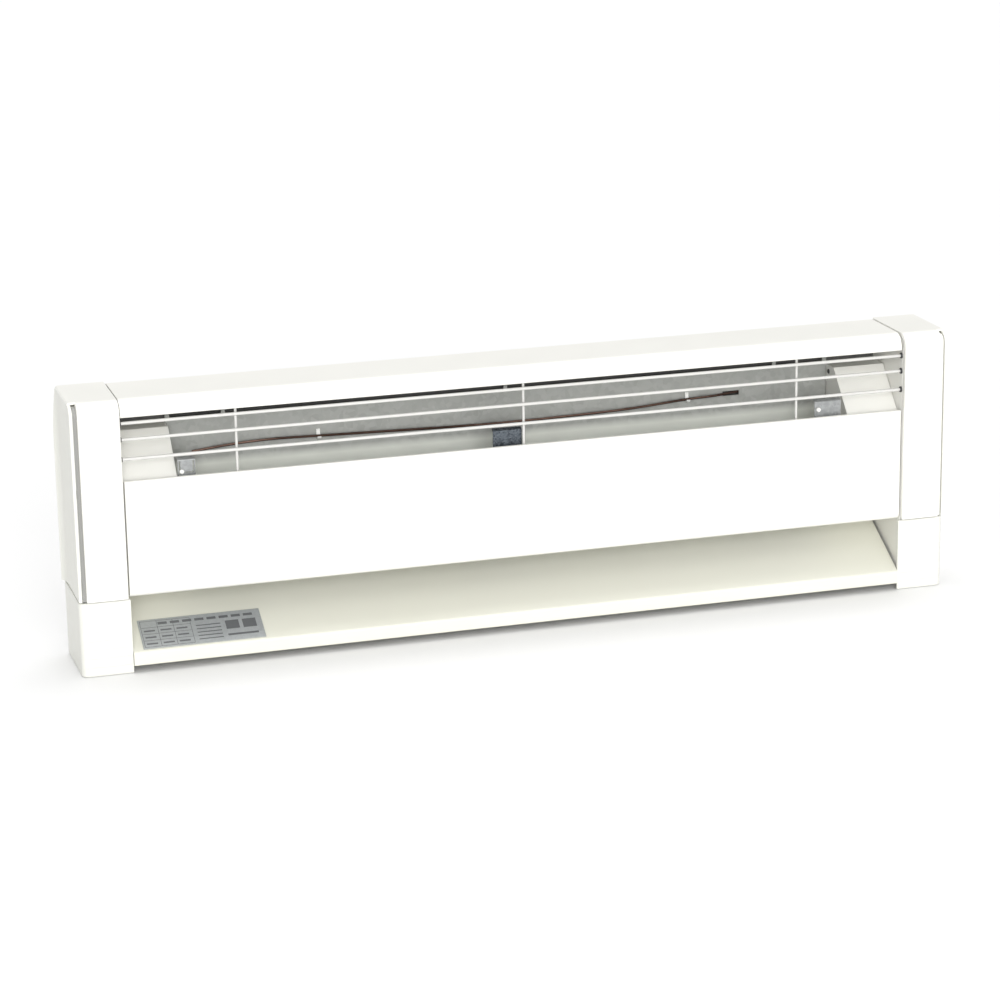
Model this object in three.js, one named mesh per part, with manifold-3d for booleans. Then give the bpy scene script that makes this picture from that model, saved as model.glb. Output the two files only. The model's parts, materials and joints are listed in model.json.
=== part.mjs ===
// A liquid-filled electric baseboard heater, as an assembly of its separate pieces.
//
// Millimetres. +X runs along the heater, to the right as seen from the room. +Y points to the wall
// and +Z up. The origin is on the floor, halfway along the heater and halfway through its depth.
import * as THREE from 'three';
import { mergeVertices } from 'three/addons/utils/BufferGeometryUtils.js';
import Module from 'manifold-3d';

const wasm = await Module();
wasm.setup();

// Driving dimensions.
const LENGTH = 711; // over the rear rims of the two end caps
const HEIGHT = 213; // floor to the top of the end caps
const DEPTH = 67; // wall to the front of the end caps
const SHEET = 1; // thickness of the steel sheets
const GAP = 0.3; // clearance between pieces that touch

// Heights above the floor.
const PAN_LIP_BOTTOM = 5.5;
const PAN_LIP_TOP = 16;
const PANEL_BOTTOM = 59;
const CAP_BOTTOM = 60;
const PANEL_TOP = 150;
const LIP_BOTTOM = 199;
const BODY_TOP = HEIGHT - 1;

// Places through the depth.
const WALL = DEPTH / 2;
const CAP_FACE = -DEPTH / 2;
const PAN_FACE = CAP_FACE + 2;
const FOOT_FACE = CAP_FACE + 3.5;
const PANEL_FACE = CAP_FACE + 5;
const REFLECTOR_FACE = WALL - 8.5;

// Places along the length, from the middle outwards.
const CAP_LENGTH = 40.5;
const CAP_INNER = LENGTH / 2 - CAP_LENGTH;
const BODY_END = CAP_INNER - GAP;
const TOP_END = BODY_END - 0.8; // leaves a shadow line between the top sheet and the cap
const END_PLATE = { inner: CAP_INNER, outer: CAP_INNER + 1.2 };
const BACK_END = END_PLATE.outer; // the back runs behind the end plates
const BACK_SHOULDER = HEIGHT - 4; // above this the back is as short as the top
const FOOT_INNER = CAP_INNER - 1.8;
const PAN_END = FOOT_INNER - GAP;
const PANEL_ENDS = [-CAP_INNER + 1.8, CAP_INNER - 0.6];
const RIM_WIDTH = 3.2;
const SIDE_OUTER = LENGTH / 2 - RIM_WIDTH;
const SIDE_INNER = SIDE_OUTER - 2.5;
const GROOVE_WIDTH = 3;
const GROOVE_DEPTH = 12;
const CAP_WALL = 1.5;
const CAP_CORNER = 10;
const BAND_OUTER = SIDE_INNER - GAP - GROOVE_WIDTH;

// The wiring compartments behind the two ends of the grille.
const BOX = { inner: 271.5, front: -20, slopeEnd: 10, bottom: 67, shoulder: 148, top: 180 };
const BOX_MIDDLE = (BOX.inner + BODY_END) / 2;
const BOX_REAR = WALL - SHEET - GAP;
const COVER = { halfWidth: 19, bottom: 70, top: 145, screwHeight: 140 };
const KNOCKOUT = { z: 100, radius: 10.9 };
const WALL_SCREW = { x: 180, heights: [75, 188], radius: 3 };

// The bottom pan's slope, the panel's curled edge and the finned element.
const PAN_SLOPE = THREE.MathUtils.degToRad(28);
const CURL_RADIUS = 5.5;
const CURL_CENTRE = { y: PANEL_FACE + CURL_RADIUS, z: PANEL_BOTTOM + CURL_RADIUS };
const TUBE = { y: 2, z: 102, radius: 11, wall: 1, end: 264 };
const FIN = { count: 40, pitch: 12.9, thickness: 0.8, depth: 38, height: 60, collar: 3 };
const HEATER_ROD = { end: 282, radius: 4 };
const ROD = { radius: 1.25, y: -26, heights: { top: 194.5, middle: 182, bottom: 166.8 } };
const CROSS_WIRE = { radius: 1.1, spacing: 226, bottom: 144, top: 207 };

// The brackets that carry the element, from left to right. Each one's base runs under at least one fin.
const BRACKET = { face: -20.5, top: 161, bottom: 66 };
const BRACKETS = {
  left: { x: -264.3, width: 13.4, base: [-271, -246], pad: { x: -268.2, z: 152 } },
  centre: { x: -12.3, width: 23.4, base: [-24, -0.6] },
  right: { x: 254.3, width: 22.6, base: [243, 265.6], pad: { x: 246, z: 154.7 } },
};

// The limit thermostat. Its capillary hangs from two clips and goes behind the heat shield to the
// switch.
const CAPILLARY = { y: REFLECTOR_FACE - 3.6, radius: 1, passage: [182, 196], passageHeight: 162.5 };
const CAPILLARY_CLIPS = { left: { x: -152, z: 158.8 }, right: { x: 151, z: 161.6 } };
const CAPILLARY_BEHIND = (REFLECTOR_FACE + SHEET + BOX_REAR) / 2;
const CAPILLARY_BEHIND_HEIGHT = 160;
const SWITCH = { x: 292, y: 14, bottom: 147, top: 165, halfWidth: 12, halfDepth: 8, tabSpacing: 12 };
const CONNECTOR = { x: 285, y: 8, bottom: 128 };
const LEAD = { radius: 1.4, terminalX: 294 };

// The slots along the top of the heat shield, with a bridge at each end and behind each cross wire.
const AIR_SLOT = { heights: [182.2, 186.2], bridge: 3 };

// The feet, the spring clips and the studs that they grip.
const FOOT = { wall: 2.4, top: CAP_BOTTOM - 1.5, flare: 0.8, corner: 5 };
const RIB = { count: 7, first: 6.5, pitch: 7, width: 3, height: 0.5 };
const PANEL_CLIP = { bottom: 108, thickness: 0.5, halfWidth: 5 };
const CAP_STUD = { y: 2, z: 135, radius: 3.2 };
const CAP_CLIP_THICKNESS = 0.8;

const ARC_STEPS = 5;
const SIDES = { left: -1, right: 1 };

const PAINT = { color: 0xf6f5ee, roughness: 0.35, metalness: 0 };
const MOULDING = { color: 0xf3f2ea, roughness: 0.45, metalness: 0 };
const PAN_PAINT = { color: 0xe9e7d8, roughness: 0.4, metalness: 0 };
const GALVANISED = { color: 0x9a9c98, roughness: 0.45, metalness: 0.8 };
const ALUMINIUM = { color: 0xc4c6c8, roughness: 0.35, metalness: 0.9 };
const COPPER = { color: 0xb0714e, roughness: 0.35, metalness: 0.9 };
const BRASS = { color: 0xb59a55, roughness: 0.35, metalness: 0.9 };
const STEEL = { color: 0x6c7278, roughness: 0.35, metalness: 0.9 };
const NYLON = { color: 0xf4f2ec, roughness: 0.5, metalness: 0 };
const CERAMIC = { color: 0xe9e4d6, roughness: 0.6, metalness: 0 };
const BLACK_PLASTIC = { color: 0x26272a, roughness: 0.5, metalness: 0 };
const RED_PLASTIC = { color: 0xa8322a, roughness: 0.5, metalness: 0 };
const GREEN_SCREW = { color: 0x3d7f4a, roughness: 0.45, metalness: 0.5 };
const SILVER_FOIL = { color: 0x9aa2a6, roughness: 0.3, metalness: 0.6 };

const heater = new THREE.Group();

// ---------------------------------------------------------------- tools

function add(name, geometry, finish) {
  const mesh = new THREE.Mesh(geometry, new THREE.MeshStandardMaterial(finish));
  mesh.name = name;
  heater.add(mesh);
}

// Rounds the corners of an open line. Each corner is [u, v] or [u, v, radius].
function roundedLine(corners) {
  const line = [];
  corners.forEach(([u, v, radius], index) => {
    const corner = new THREE.Vector2(u, v);
    if (!radius) {
      line.push(corner);
      return;
    }
    const before = new THREE.Vector2(...corners[index - 1].slice(0, 2)).sub(corner).normalize();
    const after = new THREE.Vector2(...corners[index + 1].slice(0, 2)).sub(corner).normalize();
    const halfAngle = Math.acos(before.dot(after)) / 2;
    const toCentre = before.clone().add(after).setLength(radius / Math.sin(halfAngle));
    const centre = corner.clone().add(toCentre);
    const first = corner.clone().addScaledVector(before, radius / Math.tan(halfAngle));
    const last = corner.clone().addScaledVector(after, radius / Math.tan(halfAngle));
    line.push(...arc(centre, radius, first.sub(centre).angle(), last.sub(centre).angle()));
  });
  return line;
}

// Points on an arc, taken the short way round from one angle to the other.
function arc(centre, radius, startAngle, endAngle, steps = ARC_STEPS) {
  let sweep = endAngle - startAngle;
  if (sweep > Math.PI) sweep -= 2 * Math.PI;
  if (sweep < -Math.PI) sweep += 2 * Math.PI;
  return Array.from({ length: steps + 1 }, (_, step) => {
    const angle = startAngle + (sweep * step) / steps;
    return new THREE.Vector2(Math.cos(angle), Math.sin(angle)).multiplyScalar(radius).add(centre);
  });
}

// A line moved sideways, to the right of its direction of travel.
function offsetLine(line, distance) {
  return line.map((point, index) => {
    const before = line[Math.max(index - 1, 0)];
    const after = line[Math.min(index + 1, line.length - 1)];
    const incoming = (index > 0 ? point.clone().sub(before) : after.clone().sub(point)).normalize();
    const outgoing = (index < line.length - 1 ? after.clone().sub(point) : incoming.clone()).normalize();
    const mitre = incoming.clone().add(outgoing).normalize();
    const stretch = distance / mitre.dot(incoming);
    return new THREE.Vector2(mitre.y, -mitre.x).multiplyScalar(stretch).add(point);
  });
}

// The cross-section of a bent sheet that lies to the right of a line.
function sheetShape(line, thickness = SHEET) {
  return new THREE.Shape([...line, ...offsetLine(line, thickness).reverse()]);
}

function rectangle(uStart, uEnd, vStart, vEnd) {
  const corners = [[uStart, vStart], [uEnd, vStart], [uEnd, vEnd], [uStart, vEnd]];
  return new THREE.Shape(corners.map(([u, v]) => new THREE.Vector2(u, v)));
}

function extrude(shape, depth) {
  return new THREE.ExtrudeGeometry(shape, { depth, bevelEnabled: false, curveSegments: ARC_STEPS });
}

// Extrudes a section drawn in Y and Z between two places along X.
function alongX(shape, xOne, xTwo) {
  const placed = new THREE.Matrix4().set(
    0, 0, 1, Math.min(xOne, xTwo),
    1, 0, 0, 0,
    0, 1, 0, 0,
    0, 0, 0, 1,
  );
  return extrude(shape, Math.abs(xTwo - xOne)).applyMatrix4(placed);
}

// Extrudes a section drawn in X and Z between two places along Y.
function alongY(shape, yOne, yTwo) {
  const placed = new THREE.Matrix4().set(
    1, 0, 0, 0,
    0, 0, -1, Math.max(yOne, yTwo),
    0, 1, 0, 0,
    0, 0, 0, 1,
  );
  return extrude(shape, Math.abs(yTwo - yOne)).applyMatrix4(placed);
}

// Extrudes a section drawn in X and Y between two heights.
function alongZ(shape, zOne, zTwo) {
  return extrude(shape, Math.abs(zTwo - zOne)).translate(0, 0, Math.min(zOne, zTwo));
}

function block(xRange, yRange, zRange) {
  return alongZ(rectangle(...xRange, ...yRange), ...zRange);
}

// A round bar between two points.
function bar(start, end, radius, sides = 16) {
  const from = new THREE.Vector3(...start);
  const to = new THREE.Vector3(...end);
  const direction = to.clone().sub(from);
  const geometry = new THREE.CylinderGeometry(radius, radius, direction.length(), sides);
  const upright = new THREE.Vector3(0, 1, 0);
  geometry.applyQuaternion(new THREE.Quaternion().setFromUnitVectors(upright, direction.normalize()));
  return geometry.translate(...from.add(to).multiplyScalar(0.5).toArray());
}

function barAlongX([start, end], y, z, radius, sides = 16) {
  return bar([start, y, z], [end, y, z], radius, sides);
}

function barAlongY(x, [start, end], z, radius, sides = 16) {
  return bar([x, start, z], [x, end, z], radius, sides);
}

// A round wire along a smooth curve through some points.
function wireAlong(points, radius, steps, sides = 8) {
  const curve = new THREE.CatmullRomCurve3(points.map((point) => new THREE.Vector3(...point)));
  const section = Array.from({ length: sides }, (_, side) => {
    const angle = (2 * Math.PI * side) / sides;
    return new THREE.Vector2(Math.cos(angle), Math.sin(angle)).multiplyScalar(radius);
  });
  const options = { steps, extrudePath: curve, bevelEnabled: false };
  return new THREE.ExtrudeGeometry(new THREE.Shape(section), options);
}

// Turns a lathe profile of [radius, height] about an axis along X or Y.
function turned(profile, axis, place, sides = 16) {
  const geometry = new THREE.LatheGeometry(profile.map(([r, h]) => new THREE.Vector2(r, h)), sides);
  if (axis === '+x') geometry.rotateZ(-Math.PI / 2);
  if (axis === '-x') geometry.rotateZ(Math.PI / 2);
  if (axis === '-y') geometry.rotateX(Math.PI);
  if (axis === '+z') geometry.rotateX(Math.PI / 2);
  return geometry.translate(...place);
}

function toSolid(geometry) {
  const bare = new THREE.BufferGeometry();
  bare.setAttribute('position', geometry.getAttribute('position'));
  bare.setIndex(geometry.index);
  const merged = mergeVertices(bare);
  const vertProperties = Float32Array.from(merged.getAttribute('position').array);
  const triVerts = Uint32Array.from(merged.index.array);
  return new wasm.Manifold(new wasm.Mesh({ numProp: 3, vertProperties, triVerts }));
}

function toGeometry(solid) {
  const mesh = solid.getMesh();
  const geometry = new THREE.BufferGeometry();
  geometry.setAttribute('position', new THREE.BufferAttribute(mesh.vertProperties, 3));
  geometry.setIndex(new THREE.BufferAttribute(mesh.triVerts, 1));
  const flat = geometry.toNonIndexed();
  flat.computeVertexNormals();
  return flat;
}

function joined(...geometries) {
  return toGeometry(geometries.map(toSolid).reduce((whole, piece) => whole.add(piece)));
}

function cut(geometry, ...tools) {
  const solid = toSolid(geometry);
  return toGeometry(tools.map(toSolid).reduce((whole, tool) => whole.subtract(tool), solid));
}

// ---------------------------------------------------------------- casing

// The back, top and front lip are one bent sheet.
function backPanel() {
  const line = roundedLine([
    [PANEL_FACE + 3, LIP_BOTTOM],
    [PANEL_FACE, LIP_BOTTOM, 1.3],
    [PANEL_FACE, BODY_TOP, 11],
    [WALL, BODY_TOP, 2],
    [WALL, 5],
  ]);
  const holes = [];
  for (const side of Object.values(SIDES)) {
    const x = side * BOX_MIDDLE;
    holes.push(bar([x, WALL - 2, KNOCKOUT.z], [x, WALL + 1, KNOCKOUT.z], KNOCKOUT.radius + GAP, 24));
    for (const z of WALL_SCREW.heights) {
      const screwX = side * WALL_SCREW.x;
      holes.push(bar([screwX, WALL - 2, z], [screwX, WALL + 1, z], WALL_SCREW.radius, 12));
    }
  }
  const notches = Object.values(SIDES).flatMap((side) => {
    const xRange = [side * TOP_END, side * (BACK_END + 1)].sort((a, b) => a - b);
    return [
      block(xRange, [PANEL_FACE - 1, WALL - SHEET - 0.1], [LIP_BOTTOM - 1, HEIGHT]),
      block(xRange, [WALL - SHEET - 1, WALL + 1], [BACK_SHOULDER, HEIGHT]),
    ];
  });
  return cut(alongX(sheetShape(line), -BACK_END, BACK_END), ...holes, ...notches);
}

// A heat shield that stands off the back and turns the warm air forward. Long air slots run along
// its top, and the capillary goes through a short slot of its own.
function reflector() {
  const line = roundedLine([
    [REFLECTOR_FACE - 5, 54],
    [REFLECTOR_FACE + SHEET, 60, 4],
    [REFLECTOR_FACE + SHEET, 188, 14],
    [3, BODY_TOP - SHEET - 2.5],
  ]);
  const end = BOX.inner - GAP;
  const sheet = alongX(sheetShape(line, -SHEET), -end, end);
  const { passage, passageHeight } = CAPILLARY;
  const through = [REFLECTOR_FACE - 7, REFLECTOR_FACE + 3];
  const outermost = end - AIR_SLOT.bridge;
  const bridges = [-outermost, -CROSS_WIRE.spacing, 0, CROSS_WIRE.spacing, outermost];
  const slots = bridges.slice(1).map((x, index) => block(
    [bridges[index] + AIR_SLOT.bridge / 2, x - AIR_SLOT.bridge / 2],
    through,
    AIR_SLOT.heights,
  ));
  return cut(sheet, block(passage, through, [passageHeight - 1.9, passageHeight + 1.9]), ...slots);
}

function panHeight(y) {
  return PAN_LIP_TOP + (y - PAN_FACE) * Math.tan(PAN_SLOPE);
}

function bottomPan() {
  const rear = WALL - 2.5;
  const line = roundedLine([
    [PAN_FACE + 4, PAN_LIP_BOTTOM],
    [PAN_FACE, PAN_LIP_BOTTOM, 1.3],
    [PAN_FACE, PAN_LIP_TOP, 2.5],
    [rear, panHeight(rear), 4],
    [rear, 62],
  ]);
  return alongX(sheetShape(line), -PAN_END, PAN_END);
}

// The plate that closes an end of the body. The grille rods end in its holes.
function endPlate(side) {
  const footClear = FOOT_FACE + FOOT.wall + GAP + 0.1;
  const front = PANEL_FACE + 0.1;
  const rear = WALL - SHEET - GAP;
  const outline = roundedLine([
    [footClear, 6],
    [footClear, CAP_BOTTOM + 0.4],
    [front, CAP_BOTTOM + 0.4],
    [front, BODY_TOP - 2.5, 9],
    [rear, BODY_TOP - 2.5],
    [rear, 6],
  ]);
  const plate = alongX(new THREE.Shape(outline), side * END_PLATE.inner, side * END_PLATE.outer);
  const holes = Object.values(ROD.heights).map((z) => bar(
    [side * (END_PLATE.inner - 1), ROD.y, z],
    [side * (END_PLATE.outer + 1), ROD.y, z],
    ROD.radius + 0.35,
    12,
  ));
  return cut(plate, ...holes);
}

// A moulded foot: a tray with a flat base, ribbed across its front.
function foot(side) {
  const { wall, top, corner } = FOOT;
  const front = FOOT_FACE;
  const inner = FOOT_INNER;
  const behindPlate = END_PLATE.outer + GAP;
  const outerFront = SIDE_OUTER;
  const outerRear = SIDE_OUTER + FOOT.flare;
  const outside = roundedLine([
    [side * inner, front],
    [side * outerFront, front, corner],
    [side * outerRear, WALL],
    [side * behindPlate, WALL],
    [side * behindPlate, front + wall],
    [side * inner, front + wall],
  ]);
  const inside = roundedLine([
    [side * (behindPlate + wall), front + wall],
    [side * (outerFront - wall), front + wall, corner - wall],
    [side * (outerRear - wall), WALL - wall],
    [side * (behindPlate + wall), WALL - wall],
  ]);
  const tray = cut(
    alongZ(new THREE.Shape(outside), 0, top),
    alongZ(new THREE.Shape(inside), wall, top + 1),
  );
  const ribRange = [side * (inner + 4.5), side * (outerFront - corner - 0.5)].sort((a, b) => a - b);
  const ribs = Array.from({ length: RIB.count }, (_, row) => {
    const z = RIB.first + row * RIB.pitch;
    return block(ribRange, [front - RIB.height, front + 0.5], [z, z + RIB.width]);
  });
  return joined(tray, ...ribs);
}

// ---------------------------------------------------------------- wiring compartments

// Both compartments share one section, with a sloping upper front that lets the warm air out.
const boxSection = [
  [BOX.front, BOX.bottom],
  [BOX.front, BOX.shoulder],
  [BOX.slopeEnd, BOX.top],
  [BOX_REAR, BOX.top],
  [BOX_REAR, BOX.bottom],
];

function junctionBox(name, side) {
  const section = boxSection.map(([y, z]) => new THREE.Vector2(y, z));
  const closed = [...section, section[0], section[1]];
  const inset = offsetLine(closed, SHEET).slice(1, -1);
  const shell = alongX(new THREE.Shape(section), side * BOX.inner, side * BODY_END);
  const hollow = alongX(new THREE.Shape(inset), side * (BOX.inner + SHEET), side * (BODY_END + 1));
  const throughFront = [BOX.front - 1, BOX.front + 1.5];
  const window = block(
    [side * BOX_MIDDLE - COVER.halfWidth + 4, side * BOX_MIDDLE + COVER.halfWidth - 4],
    throughFront,
    [COVER.bottom + 4, COVER.screwHeight - 6],
  );
  const screwHole = barAlongY(side * BOX_MIDDLE, throughFront, COVER.screwHeight, 2, 12);
  const throughBack = [BOX_REAR - 2, WALL];
  const wireHole = barAlongY(side * BOX_MIDDLE, throughBack, KNOCKOUT.z, KNOCKOUT.radius + GAP, 20);
  const throughSide = [side * (BOX.inner - 1), side * (BOX.inner + 2)];
  const rodHole = barAlongX(throughSide, TUBE.y, TUBE.z, HEATER_ROD.radius + 2);
  const tools = [hollow, window, screwHole, wireHole, rodHole];
  if (name === 'right') {
    tools.push(barAlongX(throughSide, CAPILLARY_BEHIND, CAPILLARY_BEHIND_HEIGHT, 2, 12));
  }
  return cut(shell, ...tools);
}

function junctionCover(side) {
  const middle = side * BOX_MIDDLE;
  const yRange = [BOX.front - GAP - SHEET, BOX.front - GAP];
  const xRange = [middle - COVER.halfWidth, middle + COVER.halfWidth];
  const plate = block(xRange, yRange, [COVER.bottom, COVER.top]);
  return cut(plate, barAlongY(middle, [yRange[0] - 1, yRange[1] + 1], COVER.screwHeight, 2, 12));
}

// A pan-head screw that points towards the wall.
function coverScrew(side) {
  const profile = [[0, 0], [3.2, 0], [3.6, 0.7], [3.4, 1.6], [2.2, 2.2], [0, 2.3]];
  const seat = BOX.front - 2 * GAP - SHEET;
  const head = turned(profile, '-y', [side * BOX_MIDDLE, seat, COVER.screwHeight]);
  const shank = [seat - 0.9, seat + 7.6];
  return joined(head, barAlongY(side * BOX_MIDDLE, shank, COVER.screwHeight, 1.6, 12));
}

function groundScrew(side) {
  const profile = [[0, 0], [4, 0], [4, 2.4], [2.5, 3.4], [0, 3.5]];
  return turned(profile, '-y', [side * (BODY_END - 12), BOX_REAR - SHEET - GAP, BOX.bottom + 17], 6);
}

// A twist-on wire connector: a tapered cap with a small skirt.
function wireConnector(side) {
  const profile = [[0, 0], [5, 0], [5.4, 1.2], [4.8, 2.4], [3.6, 13], [2.6, 15], [0, 15]];
  return turned(profile, '+z', [side * CONNECTOR.x, CONNECTOR.y, CONNECTOR.bottom]);
}

// ---------------------------------------------------------------- finned element

const fins = Array.from({ length: FIN.count }, (_, index) => (index - (FIN.count - 1) / 2) * FIN.pitch);

const sleeveEnd = fins[FIN.count - 1] + FIN.collar;

// Pressed aluminium fins, one piece with the sleeve that their collars make.
function finPack() {
  const yRange = [TUBE.y - FIN.depth / 2, TUBE.y + FIN.depth / 2];
  const zRange = [TUBE.z - FIN.height / 2, TUBE.z + FIN.height / 2];
  const halfFin = FIN.thickness / 2;
  const plates = fins.map((x) => block([x - halfFin, x + halfFin], yRange, zRange));
  const sleeve = barAlongX([-sleeveEnd, sleeveEnd], TUBE.y, TUBE.z, TUBE.radius + 1.4, 12);
  const bore = barAlongX([-sleeveEnd - 1, sleeveEnd + 1], TUBE.y, TUBE.z, TUBE.radius + 2 * GAP, 12);
  return cut(joined(sleeve, ...plates), bore);
}

function elementTube() {
  const outside = barAlongX([-TUBE.end, TUBE.end], TUBE.y, TUBE.z, TUBE.radius);
  const bore = barAlongX([-TUBE.end - 1, TUBE.end + 1], TUBE.y, TUBE.z, TUBE.radius - TUBE.wall);
  return cut(outside, bore);
}

function endPlug(side) {
  const bore = HEATER_ROD.radius + GAP;
  const inTube = TUBE.radius - TUBE.wall - 2 * GAP;
  const profile = [
    [bore, -9],
    [inTube, -9],
    [inTube, GAP],
    [TUBE.radius, GAP],
    [TUBE.radius, 3.4],
    [TUBE.radius - 1, 4.2],
    [bore, 4.2],
    [bore, -9],
  ];
  return turned(profile, side > 0 ? '+x' : '-x', [side * TUBE.end, TUBE.y, TUBE.z]);
}

function terminal(side) {
  const profile = [[0, 0], [4.6, 0], [4.6, 6], [3.4, 8], [2, 8], [2, 15], [0, 15]];
  return turned(profile, side > 0 ? '+x' : '-x', [side * (HEATER_ROD.end + GAP), TUBE.y, TUBE.z], 12);
}

// ---------------------------------------------------------------- brackets and clips

// A cradle that carries the element. Its round nose is the pivot of the front panel's curled edge.
function bracket({ x, width, base }) {
  const { face, top, bottom } = BRACKET;
  const rear = REFLECTOR_FACE - 0.4;
  const line = roundedLine([
    [rear, bottom + 26],
    [rear, bottom, 2],
    [face, bottom, 2],
    [face, top, 1.3],
    [face + 3.5, top + 1.5],
  ]);
  const xRange = [x - width / 2, x + width / 2];
  const strap = alongX(sheetShape(line), ...xRange);
  const shelf = block(base, [face + 3, rear - 3], [bottom, bottom + SHEET]);
  const { y, z } = CURL_CENTRE;
  const tongue = block(xRange, [y, face + 1], [z + 0.5, z + 2.4]);
  return joined(strap, shelf, tongue, barAlongX(xRange, y, z, 3.3, 12));
}

// The left bracket's face has a narrow slot down each side of a tongue, and one under it.
function slottedBracket(spec) {
  const through = [BRACKET.face - 1, BRACKET.face + SHEET + 1];
  const left = spec.x - spec.width / 2;
  const right = spec.x + spec.width / 2;
  return cut(
    bracket(spec),
    block([left + 0.8, left + 2], through, [147, BRACKET.top - 1]),
    block([right - 2, right - 0.8], through, [151.5, BRACKET.top - 1]),
    block([left + 5.5, right - 1.5], through, [150.4, 151.6]),
  );
}

// A nylon channel on the bracket's base, for the fins to slide on.
function glide({ base }) {
  const bottom = BRACKET.bottom + SHEET + GAP;
  const top = TUBE.z - FIN.height / 2 - GAP - 0.1;
  const line = roundedLine([[18, bottom], [18, top, 1.5], [-14, top, 1.5], [-14, bottom]]);
  return alongX(new THREE.Shape(line), base[0] + 1, base[1] - 1);
}

function panelPad({ pad }) {
  const profile = [[0, 0], [1.9, 0], [1.9, 1.2], [1.2, 2.2], [0, 2.4]];
  return turned(profile, '-y', [pad.x, BRACKET.face - GAP, pad.z], 12);
}

// A spring strip on the back of the front panel that bears on a bracket.
function panelClip(x) {
  const back = PANEL_FACE + SHEET + GAP;
  const { bottom, thickness, halfWidth } = PANEL_CLIP;
  const line = roundedLine([
    [back, bottom],
    [back, bottom + 22, 6],
    [BRACKET.face - 0.7, bottom + 31, 3],
    [BRACKET.face - 4, bottom + 38],
  ]);
  return alongX(sheetShape(line, thickness), x - halfWidth, x + halfWidth);
}

// A spring on the end plate that grips the stud of the end cap.
function capClip(side) {
  const base = END_PLATE.outer + GAP;
  const corners = [[15, 6.5], [10, 4], [0, 7.5, 2], [0, -7.5, 2], [10, -4], [15, -6.5]];
  const line = roundedLine(corners.map(
    ([reach, rise, radius]) => [side * (base + reach), CAP_STUD.z + rise, radius],
  ));
  return alongY(sheetShape(line, -side * CAP_CLIP_THICKNESS), CAP_STUD.y - 6, CAP_STUD.y + 6);
}

// ---------------------------------------------------------------- limit thermostat

function capillary() {
  const { y, passage, passageHeight } = CAPILLARY;
  const { left, right } = CAPILLARY_CLIPS;
  return wireAlong([
    [-252, y, 155.4],
    [-220, y, 158.4],
    [-188, y, 159.6],
    [left.x, y, left.z],
    [-100, y, 157.6],
    [-45, y, 156.3],
    [0, y, 156],
    [50, y, 156.5],
    [105, y, 158.2],
    [right.x, y, right.z],
    [passage[0] - 7, y, passageHeight],
    [passage[1] + 6, CAPILLARY_BEHIND, passageHeight],
    [235, CAPILLARY_BEHIND, CAPILLARY_BEHIND_HEIGHT],
    [BOX.inner + 1, CAPILLARY_BEHIND, CAPILLARY_BEHIND_HEIGHT],
    [BOX.inner + 7, SWITCH.y + 11, 158],
    [SWITCH.x - SWITCH.halfWidth - 3.5, SWITCH.y + 2, 156.5],
    [SWITCH.x - SWITCH.halfWidth - 0.5, SWITCH.y, 156],
  ], CAPILLARY.radius, 64);
}

// A hook that hangs from the heat shield and carries the capillary.
function capillaryClip({ x, z }) {
  const back = REFLECTOR_FACE - 1.2;
  const centre = new THREE.Vector2(CAPILLARY.y, z);
  const hook = arc(centre, CAPILLARY.radius + 0.5, -Math.PI, 0, 8);
  const line = [...hook, new THREE.Vector2(back, z + 2.5), new THREE.Vector2(back, z + 5)];
  return alongX(sheetShape(line, 0.8), x - 1.5, x + 1.5);
}

function limitSwitch() {
  const { x, y, bottom, top, halfWidth, halfDepth, tabSpacing } = SWITCH;
  const housing = block([x - halfWidth, x + halfWidth], [y - halfDepth, y + halfDepth], [bottom, top]);
  const dial = bar([x, y, top - 1], [x, y, top + 3], 6);
  const tabs = [-1, 1].map((end) => {
    const middle = x + (end * tabSpacing) / 2;
    return block([middle - 2, middle + 2], [y - 0.4, y + 0.4], [bottom - 6, bottom + 1]);
  });
  return joined(housing, dial, ...tabs);
}

// The two lower leads rise from the element's terminals, which slide a little below their ends.
function leads() {
  const stud = [LEAD.terminalX, TUBE.y, TUBE.z + 2.4];
  const aboveStud = [LEAD.terminalX, TUBE.y, TUBE.z + 6];
  const underConnector = [CONNECTOR.x, CONNECTOR.y, CONNECTOR.bottom - GAP - 0.2];
  const nearConnector = [CONNECTOR.x - 1, CONNECTOR.y, CONNECTOR.bottom - 6];
  const tabEnd = SWITCH.bottom - 6 - GAP - 0.9;
  const innerTab = [SWITCH.x - SWITCH.tabSpacing / 2, SWITCH.y, tabEnd];
  const outerTab = [SWITCH.x + SWITCH.tabSpacing / 2, SWITCH.y, tabEnd];
  const mirrored = (points) => points.map(([x, y, z]) => [-x, y, z]);
  return {
    left_lead_wire: mirrored([
      stud,
      aboveStud,
      [300, 4, 114],
      [293, 8, 120],
      nearConnector,
      underConnector,
    ]),
    right_lead_wire: [stud, aboveStud, [304, 7, 118], [305, 13, 130], outerTab],
    switch_lead_wire: [innerTab, [279, 16, 132], [278, 14, 122], nearConnector, underConnector],
  };
}

// ---------------------------------------------------------------- front panel and end caps

function frontPanel() {
  const line = roundedLine([
    [PANEL_FACE + 3.4, PANEL_TOP],
    [PANEL_FACE, PANEL_TOP, 1.5],
    [PANEL_FACE, CURL_CENTRE.z],
  ]);
  const curlEnd = THREE.MathUtils.degToRad(-45);
  const centre = new THREE.Vector2(CURL_CENTRE.y, CURL_CENTRE.z);
  line.push(...arc(centre, CURL_RADIUS, -Math.PI, curlEnd, 2 * ARC_STEPS).slice(1));
  return alongX(sheetShape(line, -SHEET), ...PANEL_ENDS);
}

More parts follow.
